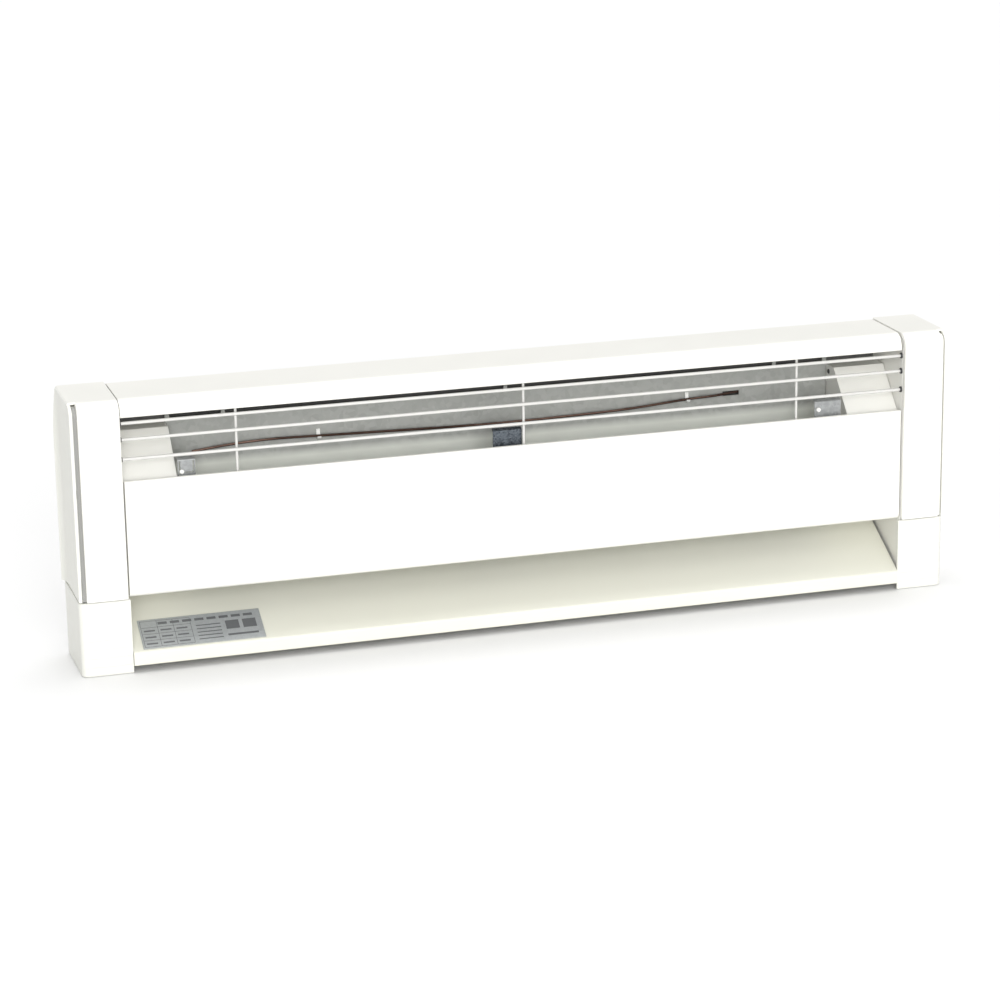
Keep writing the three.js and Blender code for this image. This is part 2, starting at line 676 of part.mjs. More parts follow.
// The band wraps the front and top. A deep groove parts its front from the side panel,
// and on top it runs over the side panel.
function capBand(side) {
  const line = roundedLine([[CAP_FACE, CAP_BOTTOM], [CAP_FACE, HEIGHT, CAP_CORNER], [WALL, HEIGHT]]);
  const grooveFloor = CAP_FACE + GROOVE_DEPTH;
  const behindGroove = grooveFloor + CAP_WALL;
  const grooveWall = roundedLine([
    [CAP_FACE, CAP_BOTTOM],
    [CAP_FACE, HEIGHT, CAP_CORNER],
    [behindGroove, HEIGHT],
    [behindGroove, CAP_BOTTOM],
  ]);
  const across = (from, to) => [side * from, side * to].sort((a, b) => a - b);
  const roofRange = [CAP_FACE + CAP_CORNER, WALL];
  return joined(
    alongX(sheetShape(line, CAP_WALL), side * CAP_INNER, side * BAND_OUTER),
    alongX(sheetShape(line, 3.2), side * CAP_INNER, side * (CAP_INNER + 1.2)),
    alongX(new THREE.Shape(grooveWall), side * (BAND_OUTER - CAP_WALL), side * BAND_OUTER),
    block(
      across(BAND_OUTER - 0.5, SIDE_INNER - GAP),
      [grooveFloor, behindGroove],
      [CAP_BOTTOM, HEIGHT - 1],
    ),
    block(across(BAND_OUTER - 1, SIDE_OUTER), roofRange, [HEIGHT - CAP_WALL, HEIGHT]),
  );
}

// The side panel has a raised rim along the wall, which fades towards the top, and a stud for the
// cap clip.
function capSide(side) {
  const front = CAP_FACE + 2;
  const top = HEIGHT - CAP_WALL - GAP;
  const outline = [[WALL, CAP_BOTTOM], [front, CAP_BOTTOM], [front, top, CAP_CORNER - 1], [WALL, top]];
  const plate = alongX(new THREE.Shape(roundedLine(outline)), side * SIDE_INNER, side * SIDE_OUTER);
  const rimLine = [
    [SIDE_OUTER - 1, CAP_BOTTOM],
    [LENGTH / 2, CAP_BOTTOM],
    [LENGTH / 2, top - 40],
    [SIDE_OUTER + 1.7, top - 9],
    [SIDE_OUTER + 0.5, top],
    [SIDE_OUTER - 1, top],
  ].map(([x, z]) => new THREE.Vector2(side * x, z));
  const rim = alongY(new THREE.Shape(rimLine), WALL - 4, WALL);
  const studRange = [side * (END_PLATE.outer + 8), side * (SIDE_INNER + 1)];
  const stud = barAlongX(studRange, CAP_STUD.y, CAP_STUD.z, CAP_STUD.radius, 12);
  return joined(plate, rim, stud);
}

function ratingPlate() {
  const along = (distance, lift) => new THREE.Vector2(
    PAN_FACE + distance * Math.cos(PAN_SLOPE) - lift * Math.sin(PAN_SLOPE),
    PAN_LIP_TOP + distance * Math.sin(PAN_SLOPE) + lift * Math.cos(PAN_SLOPE),
  );
  const section = [along(2.5, GAP), along(33, GAP), along(33, 0.9), along(2.5, 0.9)];
  return alongX(new THREE.Shape(section), -305, -210);
}

// ---------------------------------------------------------------- assembly

add('back_panel', backPanel(), PAINT);
add('reflector', reflector(), GALVANISED);
add('bottom_pan', bottomPan(), PAN_PAINT);
add('rating_plate', ratingPlate(), SILVER_FOIL);

for (const [name, side] of Object.entries(SIDES)) {
  const knockoutX = side * BOX_MIDDLE;
  add(`${name}_end_plate`, endPlate(side), PAINT);
  add(`${name}_foot`, foot(side), MOULDING);
  add(`${name}_junction_box`, junctionBox(name, side), PAINT);
  add(`${name}_junction_cover`, junctionCover(side), PAINT);
  add(`${name}_cover_screw`, coverScrew(side), STEEL);
  add(
    `${name}_knockout`,
    bar([knockoutX, WALL - SHEET, KNOCKOUT.z], [knockoutX, WALL, KNOCKOUT.z], KNOCKOUT.radius, 24),
    GALVANISED,
  );
  add(`${name}_cap_clip`, capClip(side), STEEL);
  add(`${name}_cap_band`, capBand(side), PAINT);
  add(`${name}_cap_side`, capSide(side), MOULDING);
  add(`${name}_end_plug`, endPlug(side), BRASS);
  add(`${name}_terminal`, terminal(side), CERAMIC);
  add(`${name}_wire_connector`, wireConnector(side), RED_PLASTIC);
}

for (const [name, spec] of Object.entries(BRACKETS)) {
  const shape = name === 'left' ? slottedBracket(spec) : bracket(spec);
  add(`${name}_bracket`, shape, STEEL);
  add(`${name}_glide`, glide(spec), NYLON);
  if (spec.pad) {
    add(`${name}_panel_pad`, panelPad(spec), NYLON);
    add(`${name}_panel_clip`, panelClip(spec.x), STEEL);
  }
}

for (const [name, z] of Object.entries(ROD.heights)) {
  const end = END_PLATE.outer + 1.4;
  add(`grille_rod_${name}`, bar([-end, ROD.y, z], [end, ROD.y, z], ROD.radius, 10), PAINT);
}

['left', 'centre', 'right'].forEach((name, index) => {
  const x = (index - 1) * CROSS_WIRE.spacing;
  const y = ROD.y + ROD.radius + CROSS_WIRE.radius + GAP;
  const ends = [[x, y, CROSS_WIRE.bottom], [x, y, CROSS_WIRE.top]];
  add(`${name}_grille_wire`, bar(...ends, CROSS_WIRE.radius, 10), PAINT);
});

add('element_tube', elementTube(), COPPER);
add('fin_pack', finPack(), ALUMINIUM);
add(
  'heater_rod',
  barAlongX([-HEATER_ROD.end, HEATER_ROD.end], TUBE.y, TUBE.z, HEATER_ROD.radius, 12),
  STEEL,
);
const fillPlugX = (sleeveEnd + TUBE.end) / 2;
const fillPlugBase = TUBE.z + TUBE.radius + GAP;
add(
  'fill_plug',
  bar([fillPlugX, TUBE.y, fillPlugBase], [fillPlugX, TUBE.y, fillPlugBase + 4.7], 3, 6),
  BRASS,
);

add('limit_capillary', capillary(), COPPER);
add('left_capillary_clip', capillaryClip(CAPILLARY_CLIPS.left), NYLON);
add('right_capillary_clip', capillaryClip(CAPILLARY_CLIPS.right), NYLON);
add('limit_switch', limitSwitch(), BLACK_PLASTIC);
add('ground_screw', groundScrew(SIDES.left), GREEN_SCREW);
for (const [name, points] of Object.entries(leads())) {
  add(name, wireAlong(points, LEAD.radius, 16), BLACK_PLASTIC);
}

add('front_panel', frontPanel(), PAINT);

export default heater;
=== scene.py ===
"""Looks of a liquid-filled electric baseboard heater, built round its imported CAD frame.

Lengths are in metres. +X runs along the heater, +Y points to the wall and +Z up.
"""
import json
import math

import bmesh
import bpy
from mathutils import Matrix, Vector


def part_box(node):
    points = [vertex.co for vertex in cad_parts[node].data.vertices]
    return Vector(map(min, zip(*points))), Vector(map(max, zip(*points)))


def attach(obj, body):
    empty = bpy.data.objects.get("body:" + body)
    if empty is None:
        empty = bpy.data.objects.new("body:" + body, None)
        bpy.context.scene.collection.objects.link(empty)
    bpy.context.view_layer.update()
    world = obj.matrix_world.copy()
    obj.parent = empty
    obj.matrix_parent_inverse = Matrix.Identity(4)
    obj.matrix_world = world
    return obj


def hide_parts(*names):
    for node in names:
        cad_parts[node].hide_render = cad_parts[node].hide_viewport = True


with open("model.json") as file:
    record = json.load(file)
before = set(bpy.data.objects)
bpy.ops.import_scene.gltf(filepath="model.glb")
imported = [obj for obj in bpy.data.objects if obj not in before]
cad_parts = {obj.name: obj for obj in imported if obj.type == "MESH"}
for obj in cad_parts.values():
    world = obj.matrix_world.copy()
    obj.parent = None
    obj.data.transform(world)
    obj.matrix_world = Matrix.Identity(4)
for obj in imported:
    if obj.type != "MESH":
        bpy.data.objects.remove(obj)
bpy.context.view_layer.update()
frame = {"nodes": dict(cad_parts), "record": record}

slot_of = {part["node"]: part["material_slot"] for part in frame["record"]["subparts"]}
body_of = {node: body for body, nodes in frame["record"]["behaviour"]["bodies"].items() for node in nodes}

MM = 0.001
SHEET = 1.0 * MM
EDGE = 0.25 * MM  # radius on a cut sheet edge
REACH = 1.0 * MM  # how far a cutter goes past what it cuts
CAP_WALL = 1.5 * MM
GROOVE_DEPTH = 3.5 * MM
PAN_SLOPE = math.radians(28)
SHARP_ANGLE = 32  # degrees between two faces that make an edge worth rounding
ARC_STEPS = 10
SIDES = {"left": -1, "right": 1}
PLACES = ("left", "centre", "right")


# ------------------------------------------------------------------ outlines

def arc(centre, radius, start, end, steps=ARC_STEPS):
    """Points on an arc from one angle to another, in radians."""
    angles = [start + (end - start) * step / steps for step in range(steps + 1)]
    return [Vector((centre[0] + radius * math.cos(a), centre[1] + radius * math.sin(a))) for a in angles]


def rounded(corners, steps=ARC_STEPS):
    """A line whose corners, given as (u, v) or (u, v, radius), are rounded."""
    line = []
    for index, (u, v, *radius) in enumerate(corners):
        corner = Vector((u, v))
        if not radius:
            line.append(corner)
            continue
        before = (Vector(corners[index - 1][:2]) - corner).normalized()
        after = (Vector(corners[index + 1][:2]) - corner).normalized()
        half = math.acos(max(-1.0, min(1.0, before.dot(after)))) / 2
        centre = corner + (before + after).normalized() * radius[0] / math.sin(half)
        first = corner + before * radius[0] / math.tan(half) - centre
        last = corner + after * radius[0] / math.tan(half) - centre
        start = math.atan2(first.y, first.x)
        turn = math.atan2(last.y, last.x) - start
        turn = (turn + math.pi) % (2 * math.pi) - math.pi
        line += arc(centre, radius[0], start, start + turn, steps)
    return line


def offset(line, distance):
    """A line moved sideways, to the right of its direction of travel."""
    moved = []
    for index, point in enumerate(line):
        incoming = (point - line[index - 1]) if index else (line[1] - point)
        outgoing = (line[index + 1] - point) if index < len(line) - 1 else incoming
        incoming, outgoing = incoming.normalized(), outgoing.normalized()
        mitre = (incoming + outgoing).normalized()
        reach = distance / mitre.dot(incoming)
        moved.append(point + Vector((mitre.y, -mitre.x)) * reach)
    return moved


def sheet_section(line, thickness=SHEET):
    """The closed section of a bent sheet that lies to the right of a line."""
    return line + offset(line, thickness)[::-1]


# ------------------------------------------------------------------ meshes

def new_piece(name, body, slot, stands_for=(), finish=None):
    """An empty piece that rides on a body and stands for some CAD nodes. Its finish is its slot's own."""
    piece = bpy.data.objects.new(name, bpy.data.meshes.new(name))
    bpy.context.scene.collection.objects.link(piece)
    piece.data.materials.append(finishes[finish or slot])
    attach(piece, body)
    if stands_for:
        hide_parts(*stands_for)
    return piece


def stand_in(name, node, finish=None):
    """An empty piece in the place of one CAD node, with that node's body and slot."""
    return new_piece(name, body_of[node], slot_of[node], [node], finish)


def refined(node, radius):
    """A copy of a CAD node's shape with rounded edges and smooth curves."""
    piece = stand_in(f"{node}_piece", node)
    bm = bmesh.new()
    bm.from_mesh(frame["nodes"][node].data)
    for face in bm.faces:
        face.material_index = 0
    bm.to_mesh(piece.data)
    bm.free()
    soften(piece, radius)


def fill(piece, build):
    """Fills a piece's mesh from what build(bm) makes, with all faces pointing out."""
    bm = bmesh.new()
    build(bm)
    bmesh.ops.recalc_face_normals(bm, faces=bm.faces)
    bm.to_mesh(piece.data)
    bm.free()


def add_loft(bm, rings, endless=False):
    """Joins closed rings of points into one solid: with flat ends, or endless like a tube's wall."""
    made = [[bm.verts.new(point) for point in ring] for ring in rings]
    count = len(made[0])
    for ring, following in zip(made, made[1:] + (made[:1] if endless else [])):
        for k in range(count):
            bm.faces.new((ring[k], ring[(k + 1) % count], following[(k + 1) % count], following[k]))
    if not endless:
        bm.faces.new(made[0][::-1])
        bm.faces.new(made[-1])


def add_along_x(bm, section, x_places):
    """Extrudes a section drawn in Y and Z through places along X."""
    add_loft(bm, [[Vector((x, u, v)) for u, v in section] for x in x_places])


def add_block(bm, low, high):
    """A box between two opposite corners."""
    section = [(low[1], low[2]), (high[1], low[2]), (high[1], high[2]), (low[1], high[2])]
    add_along_x(bm, section, (low[0], high[0]))


def frame_along(points):
    """A steady pair of crosswise directions at each point of a path."""
    pairs = []
    side = None
    for index in range(len(points)):
        ahead = points[min(index + 1, len(points) - 1)] - points[max(index - 1, 0)]
        ahead.normalize()
        if side is None:
            side = ahead.orthogonal().normalized()
        side = (side - ahead * side.dot(ahead)).normalized()
        pairs.append((side, ahead.cross(side)))
    return pairs


def add_wire(bm, points, radius, sides=16):
    """A round wire with slightly rounded ends along a path."""
    points = [Vector(point) for point in points]
    setback = radius * 0.3
    first = points[0] + (points[1] - points[0]).normalized() * setback
    last = points[-1] - (points[-1] - points[-2]).normalized() * setback
    path = [points[0], first, *points[1:-1], last, points[-1]]
    end_radius = radius * 0.7
    radii = [end_radius, *[radius] * (len(path) - 2), end_radius]
    turns = [2 * math.pi * k / sides for k in range(sides)]
    rings = []
    for point, (side, up), r in zip(path, frame_along(path), radii):
        rings.append([point + side * r * math.cos(a) + up * r * math.sin(a) for a in turns])
    add_loft(bm, rings)


def add_turned(bm, profile, place, axis, sides=32, endless=False):
    """A solid of revolution. The profile is (radius, height) from one end to the other, or all round."""
    turn = Vector((0, 0, 1)).rotation_difference(Vector(axis)).to_matrix()
    turns = [2 * math.pi * k / sides for k in range(sides)]
    rings = []
    for radius, height in profile:
        points = [Vector((radius * math.cos(a), radius * math.sin(a), height)) for a in turns]
        rings.append([turn @ point + Vector(place) for point in points])
    add_loft(bm, rings, endless)


def apply_modifiers(piece):
    """Replaces the piece's mesh with what its modifiers make."""
    bpy.context.view_layer.update()
    evaluated = piece.evaluated_get(bpy.context.evaluated_depsgraph_get())
    mesh = bpy.data.meshes.new_from_object(evaluated)
    piece.modifiers.clear()
    piece.data = mesh


def combine(piece, operation, build):
    """Joins to a piece, or cuts from it, what build(bm) makes."""
    tool = bpy.data.objects.new("tool", bpy.data.meshes.new("tool"))
    bpy.context.scene.collection.objects.link(tool)
    fill(tool, build)
    modifier = piece.modifiers.new("combine", "BOOLEAN")
    modifier.operation = operation
    modifier.solver = "EXACT"
    modifier.use_self = True
    modifier.object = tool
    apply_modifiers(piece)
    bpy.data.objects.remove(tool)


def soften(piece, radius, segments=2):
    """Rounds a piece's sharp edges, where radius isn't 0, and shades it smooth between them."""
    bm = bmesh.new()
    bm.from_mesh(piece.data)
    bmesh.ops.remove_doubles(bm, verts=bm.verts, dist=0.001 * MM)
    bmesh.ops.dissolve_limit(bm, angle_limit=math.radians(0.5), verts=bm.verts, edges=bm.edges)
    bm.to_mesh(piece.data)
    bm.free()
    if radius:
        bevel = piece.modifiers.new("bevel", "BEVEL")
        bevel.width = radius
        bevel.segments = segments
        bevel.limit_method = "ANGLE"
        bevel.angle_limit = math.radians(SHARP_ANGLE)
        apply_modifiers(piece)
    piece.data.shade_smooth()
    piece.data.set_sharp_from_angle(angle=math.radians(SHARP_ANGLE + 8))
    piece.modifiers.new("flat_faces_stay_flat", "WEIGHTED_NORMAL").keep_sharp = True
    apply_modifiers(piece)


def paint_shade_on(piece, shade_finish, where):
    """Gives a piece a dark finish, painted shade, on the faces for which where(face) is true."""
    piece.data.materials.append(finishes[shade_finish])
    for face in piece.data.polygons:
        if where(face):
            face.material_index = 1


# ------------------------------------------------------------------ materials

def node(tree, kind, **settings):
    """Adds a shader node. A setting whose name is an input socket's sets that socket."""
    made = tree.nodes.new(kind)
    for name, value in settings.items():
        socket = made.inputs.get(name.replace("_", " "))
        if socket is not None:
            socket.default_value = value
        else:
            setattr(made, name, value)
    return made


class Finish:
    """A Principled material whose colour, roughness and bump are built up from noise."""

    def __init__(self, name, colour, roughness, metallic=0.0, coat=0.0):
        self.material = bpy.data.materials.new(name)
        self.material.use_nodes = True
        self.tree = self.material.node_tree
        self.shader = self.tree.nodes["Principled BSDF"]
        self.shader.inputs["Base Color"].default_value = (*colour, 1)
        self.shader.inputs["Roughness"].default_value = roughness
        self.shader.inputs["Metallic"].default_value = metallic
        self.shader.inputs["Coat Weight"].default_value = coat
        self.shader.inputs["Coat Roughness"].default_value = 0.2
        self.place = node(self.tree, "ShaderNodeTexCoord").outputs["Object"]
        self.height = None

    def link(self, output, socket):
        self.tree.links.new(output, socket)

    def stretched(self, scale):
        """Coordinates stretched along some axes, for brushed or drawn surfaces."""
        mapping = node(self.tree, "ShaderNodeMapping")
        mapping.inputs["Scale"].default_value = scale
        self.link(self.place, mapping.inputs["Vector"])
        return mapping.outputs["Vector"]

    def noise(self, scale, detail=3.0, place=None):
        """A soft random value. The scale is its number of features per metre."""
        texture = node(self.tree, "ShaderNodeTexNoise", Scale=scale, Detail=detail)
        self.link(place or self.place, texture.inputs["Vector"])
        return texture.outputs["Fac"]

    def cells(self, scale):
        """One random value per crystal-like cell."""
        texture = node(self.tree, "ShaderNodeTexVoronoi", Scale=scale)
        self.link(self.place, texture.inputs["Vector"])
        split = node(self.tree, "ShaderNodeSeparateColor")
        self.link(texture.outputs["Color"], split.inputs["Color"])
        return split.outputs["Red"]

    def ramp(self, value, low, high, start=0.3, end=0.7):
        """Spreads the middle of a value's range over low to high."""
        spread = node(self.tree, "ShaderNodeMapRange")
        self.link(value, spread.inputs["Value"])
        for name, number in (("From Min", start), ("From Max", end), ("To Min", low), ("To Max", high)):
            spread.inputs[name].default_value = number
        return spread.outputs["Result"]

    def colours(self, value, one, two):
        """Drives the colour from one to two by a value."""
        mix = node(self.tree, "ShaderNodeMix", data_type="RGBA")
        self.link(value, mix.inputs["Factor"])
        mix.inputs[6].default_value = (*one, 1)
        mix.inputs[7].default_value = (*two, 1)
        self.link(mix.outputs[2], self.shader.inputs["Base Color"])

    def paint_light_below(self, height, blend, colour):
        """Fades the colour into another one below a height: painted light, a paler lower part."""
        split = node(self.tree, "ShaderNodeSeparateXYZ")
        self.link(self.place, split.inputs["Vector"])
        above = self.shader.inputs["Base Color"].links[0].from_socket
        mix = node(self.tree, "ShaderNodeMix", data_type="RGBA")
        self.link(self.ramp(split.outputs["Z"], 0.0, 1.0, height - blend, height), mix.inputs["Factor"])
        mix.inputs[6].default_value = (*colour, 1)
        self.link(above, mix.inputs[7])
        self.link(mix.outputs[2], self.shader.inputs["Base Color"])

    def roughness(self, value, low, high, *spread):
        """Drives the roughness from low to high by a value."""
        self.link(self.ramp(value, low, high, *spread), self.shader.inputs["Roughness"])

    def bump(self, value, depth, strength):
        """Adds one layer of surface relief, depth in metres."""
        bump = node(self.tree, "ShaderNodeBump", Strength=strength, Distance=depth)
        self.link(value, bump.inputs["Height"])
        if self.height:
            self.link(self.height, bump.inputs["Normal"])
        self.height = bump.outputs["Normal"]
        self.link(self.height, self.shader.inputs["Normal"])


def painted(name, colour, tint, roughness, coat=0.15):
    """Powder coat: a faint orange peel, and a slow drift of colour and gloss."""
    finish = Finish(name, colour, roughness, coat=coat)
    drift = finish.noise(7.0, 4.0)
    finish.colours(finish.ramp(drift, 0.0, 1.0), colour, tint)
    finish.roughness(finish.noise(55.0, 5.0), roughness - 0.05, roughness + 0.06)
    finish.bump(finish.noise(16.0, 1.0), 0.5 * MM, 0.12)
    finish.bump(finish.noise(1100.0, 2.0), 0.02 * MM, 0.7)
    return finish.material


def moulded(name, colour, tint, roughness, grain=1900.0):
    """Moulded plastic with a fine spark-eroded grain."""
    finish = Finish(name, colour, roughness)
    finish.colours(finish.ramp(finish.noise(9.0), 0.0, 1.0), colour, tint)
    finish.roughness(finish.noise(80.0, 4.0), roughness - 0.04, roughness + 0.05)
    finish.bump(finish.noise(grain, 3.0), 0.03 * MM, 0.8)
    return finish.material


def galvanised(name, dark, light, spangle=240.0, roughness=0.5, metallic=0.3, below=None):
    """Zinc-coated sheet: flat crystals that differ in brightness and gloss.

    Below may give (height, blend, colour) for a lower part painted paler, as painted light.
    """
    finish = Finish(name, light, roughness, metallic=metallic)
    crystals = finish.cells(spangle)
    whole_range = (0.0, 1.0)
    finish.colours(finish.ramp(crystals, 0.0, 1.0, *whole_range), dark, light)
    if below:
        finish.paint_light_below(*below)
    finish.roughness(crystals, roughness - 0.08, roughness + 0.1, *whole_range)
    finish.bump(finish.noise(40.0, 5.0), 0.2 * MM, 0.25)
    finish.bump(finish.noise(900.0, 3.0), 0.02 * MM, 0.5)
    return finish.material


def drawn_metal(name, dark, light, roughness, stretch=(6.0, 400.0, 400.0), metallic=1.0):
    """Rolled or drawn metal: fine streaks, along X unless stretched otherwise, and some tarnish."""
    finish = Finish(name, light, roughness, metallic=metallic)
    streaks = finish.noise(1.0, 4.0, finish.stretched(stretch))
    finish.colours(finish.ramp(finish.noise(35.0, 5.0), 0.0, 1.0), dark, light)
    finish.roughness(streaks, roughness - 0.08, roughness + 0.12)
    finish.bump(streaks, 0.02 * MM, 0.6)
    return finish.material


zinc = ((0.36, 0.367, 0.345), (0.43, 0.437, 0.415))
finishes = {
    "painted_steel": painted("painted_steel", (0.832, 0.826, 0.778), (0.848, 0.842, 0.797), 0.34),
    # A darker, yellower copy of the casing paint: painted shade for the pan under the front panel.
    "pan_paint": painted("pan_paint", (0.765, 0.76, 0.66), (0.785, 0.78, 0.685), 0.38),
    "painted_wire": painted("painted_wire", (0.62, 0.615, 0.59), (0.66, 0.655, 0.63), 0.22, coat=0.3),
    "moulded_trim": moulded("moulded_trim", (0.735, 0.735, 0.682), (0.75, 0.75, 0.7), 0.42),
    "galvanised_steel": galvanised("galvanised_steel", *zinc),
    "dark_steel": galvanised("dark_steel", (0.05, 0.058, 0.07), (0.13, 0.15, 0.17), 900.0, 0.34, 0.7),
    "spring_steel": galvanised("spring_steel", (0.29, 0.3, 0.3), (0.37, 0.38, 0.38), 600.0, 0.36, 0.45),
    "bright_steel": drawn_metal("bright_steel", (0.6, 0.6, 0.6), (0.74, 0.74, 0.74), 0.25),
    "aluminium_fins": drawn_metal("aluminium_fins", (0.72, 0.73, 0.74), (0.84, 0.85, 0.86), 0.36,
                                  (400.0, 8.0, 90.0), metallic=0.5),
    "copper": drawn_metal("copper", (0.11, 0.07, 0.058), (0.23, 0.145, 0.115), 0.42),
    "brass": drawn_metal("brass", (0.52, 0.39, 0.17), (0.72, 0.58, 0.3), 0.28),
    "ceramic": moulded("ceramic", (0.84, 0.82, 0.76), (0.88, 0.86, 0.8), 0.55, 700.0),
    "nylon": moulded("nylon", (0.9, 0.9, 0.87), (0.93, 0.93, 0.9), 0.4),
    "black_plastic": moulded("black_plastic", (0.018, 0.018, 0.02), (0.03, 0.03, 0.032), 0.4),
    "red_plastic": moulded("red_plastic", (0.42, 0.045, 0.03), (0.48, 0.06, 0.04), 0.38),
    "wire_jacket": moulded("wire_jacket", (0.02, 0.02, 0.022), (0.032, 0.032, 0.034), 0.45),
    "green_screw": drawn_metal("green_screw", (0.03, 0.16, 0.06), (0.06, 0.27, 0.11), 0.32),
    "foil_plate": galvanised("foil_plate", (0.42, 0.44, 0.445), (0.48, 0.5, 0.505), 700.0, 0.36),
    "print": moulded("print", (0.1, 0.105, 0.11), (0.16, 0.165, 0.17), 0.5),
    # A dark finish for the casing's inside: painted shade.
    "painted_shade_inside": moulded("painted_shade_inside", (0.1, 0.1, 0.095), (0.13, 0.13, 0.125), 0.7),
    # Zinc painted paler below 149.5 mm: painted light on the shield's lower band.
    "shield_zinc_painted_light": galvanised("shield_zinc_painted_light", *zinc, below=(149.5 * MM, 6 * MM, (0.88, 0.9, 0.83))),
    # A mid-grey for the left cap's groove floor: painted shade.
    "groove_painted_shade": moulded("groove_painted_shade", (0.27, 0.27, 0.257), (0.32, 0.32, 0.307), 0.6),
}


# ------------------------------------------------------------------ casing

back_low, back_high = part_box("back_panel")
pan_low, pan_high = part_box("bottom_pan")
panel_low, panel_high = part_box("front_panel")
shield_low, shield_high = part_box("reflector")


def casing_sheet():
    """The back, top and front lip, one bent sheet, with its holes."""
    lip = back_low.y
    lip_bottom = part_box("grille_rod_top")[1].z + 3.25 * MM
    lip_return = 3 * MM
    above, behind = back_high.z + REACH, back_high.y + REACH
    line = rounded([
        (lip + lip_return, lip_bottom),
        (lip, lip_bottom, 1.3 * MM),
        (lip, back_high.z, 11 * MM),
        (back_high.y, back_high.z, 2 * MM),
        (back_high.y, back_low.z),
    ])
    piece = new_piece("casing_sheet", "casing", "painted_steel", ["back_panel"])
    fill(piece, lambda bm: add_along_x(bm, sheet_section(line), (back_low.x, back_high.x)))

    def notches(bm):
        """The lip and the top end between the end plates. Only the back runs on behind them."""
        top_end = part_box("right_end_plate")[0].x - 1.1 * MM
        shoulder = back_high.z - 3 * MM
        before_back = back_high.y - 1.1 * SHEET
        for side in SIDES.values():
            x_low, x_high = sorted((side * top_end, side * (back_high.x + REACH)))
            add_block(bm, (x_low, lip - REACH, lip_bottom - REACH), (x_high, before_back, above))
            add_block(bm, (x_low, back_high.y - 2 * SHEET, shoulder), (x_high, behind, above))
    combine(piece, "DIFFERENCE", notches)

    def round_hole(bm, x, z, radius, sides):
        start = back_high.y - 3 * SHEET
        add_turned(bm, [(radius, 0), (radius, 5 * SHEET)], (x, start, z), (0, 1, 0), sides)

    def holes(bm):
        """The two knockouts' holes and four for wall screws."""
        screw_x, screw_heights, screw_hole = 180 * MM, (75 * MM, 188 * MM), 3 * MM
        for name, side in SIDES.items():
            low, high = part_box(f"{name}_knockout")
            middle = (low + high) / 2
            round_hole(bm, middle.x, middle.z, (high.z - low.z) / 2 + 0.3 * MM, 48)
            for z in screw_heights:
                round_hole(bm, side * screw_x, z, screw_hole, 24)
    combine(piece, "DIFFERENCE", holes)

    bead_reach = 240 * MM
    bead_heights = (110 * MM, 145 * MM)
    bead_axis = back_high.y + 2 * MM
    inner_radius = 3.4 * MM
    bead_wall = 0.9 * MM

    def beads(bm, radius, reach):
        for z in bead_heights:
            add_wire(bm, [(-reach, bead_axis, z), (reach, bead_axis, z)], radius, 32)

    def proud_of_back(bm):
        """The space behind the back round the beads, which the ridges mustn't fill."""
        x = bead_reach + 60 * MM
        z_low, z_high = bead_heights[0] - 20 * MM, bead_heights[1] + 20 * MM
        add_block(bm, (-x, back_high.y, z_low), (x, back_high.y + 10 * MM, z_high))
    combine(piece, "UNION", lambda bm: beads(bm, inner_radius + bead_wall, bead_reach + REACH))
    combine(piece, "DIFFERENCE", lambda bm: beads(bm, inner_radius, bead_reach))
    combine(piece, "DIFFERENCE", proud_of_back)
    soften(piece, 0)

    # Painted shade: the back sheet's inside is made dark, so the slots and the space above the boxes look
    # black.
    def inside(face):
        near_back = back_high.y - 6 * MM < face.center.y < back_high.y - 0.6 * SHEET
        return near_back and face.normal.y < -0.3 and face.center.z < back_high.z - 3 * MM
    paint_shade_on(piece, "painted_shade_inside", inside)


def front_sheet():
    """The front panel: a turned-back top edge and a curled lower edge."""
    face, top = panel_low.y, panel_high.z
    fold = 3.4 * MM
    curl_radius = 5.5 * MM
    curl_end = math.radians(315)
    curl_z = panel_low.z + curl_radius
    line = rounded([(face + fold, top), (face, top, 1.5 * MM), (face, curl_z)])
    curl = arc((face + curl_radius, curl_z), curl_radius, math.pi, curl_end, 2 * ARC_STEPS)
    section = sheet_section(line + curl[1:], -SHEET)
    piece = new_piece("front_sheet", "front_cover", "painted_steel", ["front_panel"])
    fill(piece, lambda bm: add_along_x(bm, section, (panel_low.x, panel_high.x)))
    soften(piece, EDGE)


def pan_sheet():
    """The inclined pan below the air inlet, with its front lip and rear flange."""
    face = pan_low.y
    rear = pan_high.y - SHEET
    rise = (rear - face) * math.tan(PAN_SLOPE)
    lip_top = pan_low.z + 10.5 * MM
    lip_return = 4 * MM
    line = rounded([
        (face + lip_return, pan_low.z),
        (face, pan_low.z, 1.3 * MM),
        (face, lip_top, 2.5 * MM),
        (rear, lip_top + rise, 4 * MM),
        (rear, pan_high.z),
    ])
    # The whole pan sheet, its lip too, takes the darker paint: painted shade.
    piece = new_piece("pan_sheet", "casing", "pan_paint", ["bottom_pan"])
    fill(piece, lambda bm: add_along_x(bm, sheet_section(line), (pan_low.x, pan_high.x)))
    soften(piece, EDGE)


